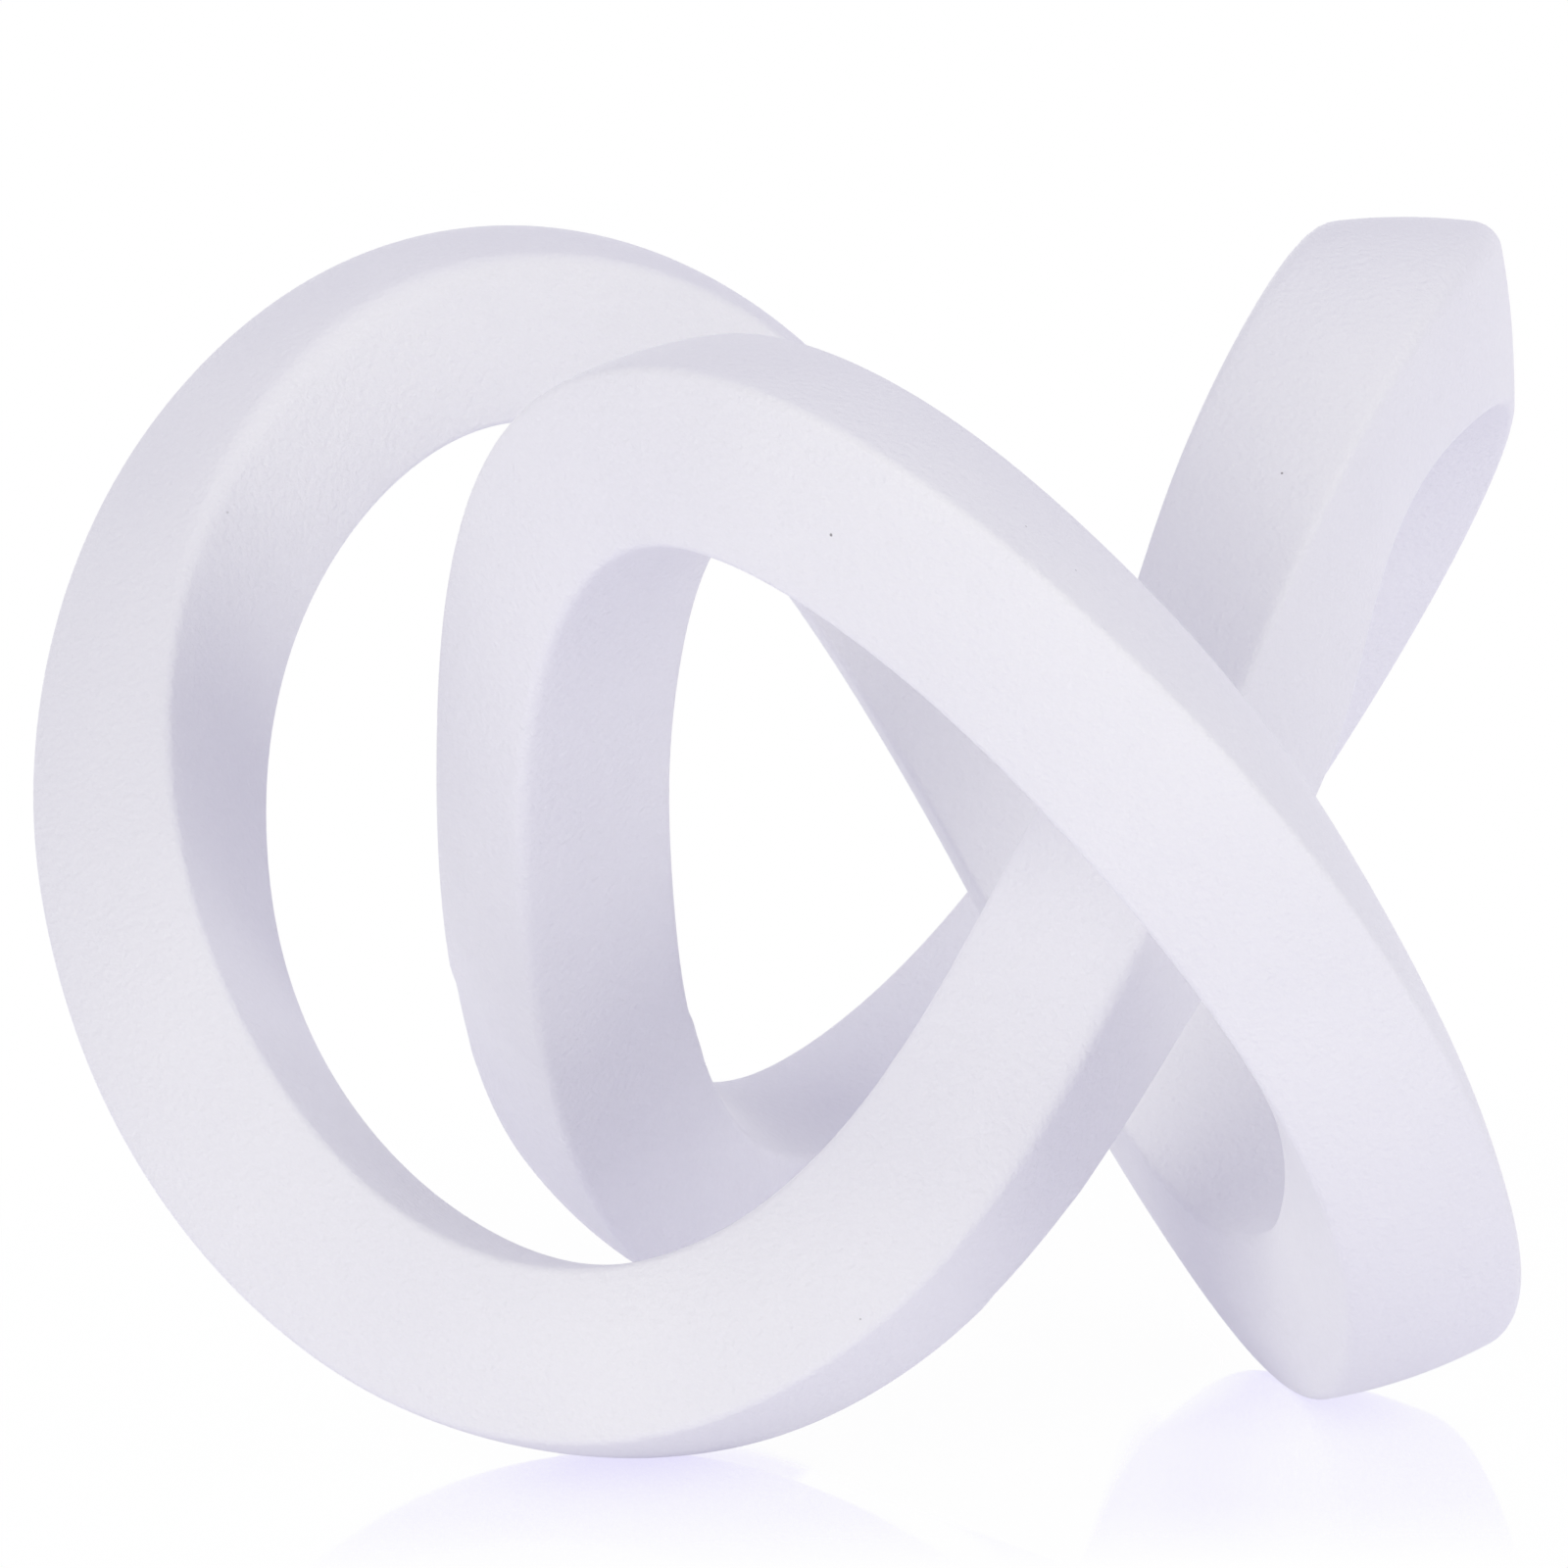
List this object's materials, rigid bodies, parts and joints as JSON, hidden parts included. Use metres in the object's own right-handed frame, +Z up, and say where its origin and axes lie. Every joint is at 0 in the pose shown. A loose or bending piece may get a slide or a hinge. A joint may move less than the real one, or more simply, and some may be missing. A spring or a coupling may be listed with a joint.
{
  "type": "knot sculpture",
  "caption": "Free-standing tabletop ornament: a square bar with soft edges, cast, welded and tied in a closed lobed knot, painted matt white.",
  "frame": {"origin": "on the floor, at the middle of the knot's overall length and width", "axes": "+Z up along the knot's axis, which stands at X 12.4 mm, Y -1.0 mm; the left lobe points to -X; -Y is the side that the picture was taken from"},
  "size_m": [0.1586, 0.1688, 0.1211],
  "materials": {
    "white_coat": "matt white powder coat with a fine sandy grain on cast aluminium",
    "coated_weld": "weld bead ground nearly flush and coated with the castings",
    "dowel_steel": "ground steel"
  },
  "bodies": {
    "root": {"left_lobe": "white_coat", "rear_lobe": "white_coat", "front_lobe": "white_coat", "front_weld": "coated_weld", "left_weld": "coated_weld", "rear_weld": "coated_weld", "front_dowel_1": "dowel_steel", "front_dowel_2": "dowel_steel", "left_dowel_1": "dowel_steel", "left_dowel_2": "dowel_steel", "rear_dowel_1": "dowel_steel", "rear_dowel_2": "dowel_steel"}
  },
  "joints": []
}
